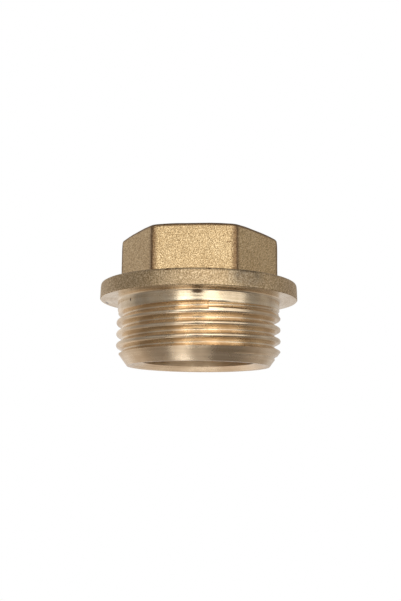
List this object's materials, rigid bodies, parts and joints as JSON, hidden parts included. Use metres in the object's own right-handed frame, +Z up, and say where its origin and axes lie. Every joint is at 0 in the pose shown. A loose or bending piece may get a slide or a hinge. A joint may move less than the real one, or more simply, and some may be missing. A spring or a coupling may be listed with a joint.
{
  "type": "male threaded end cap",
  "caption": "Brass end cap with an outside pipe thread, a round flange and a hexagon head, hollow from its thread end; it closes a pipe socket.",
  "frame": {"origin": "centre of the thread's end face, on which the cap stands", "axes": "+Z up the axis from the thread to the hexagon head; -Y out of one flat of the hexagon"},
  "size_m": [0.0402, 0.04, 0.0265],
  "materials": {
    "brass": "blasted forging on head and rim, turned below the flange"
  },
  "bodies": {
    "root": {"end_cap": "brass"}
  },
  "joints": []
}
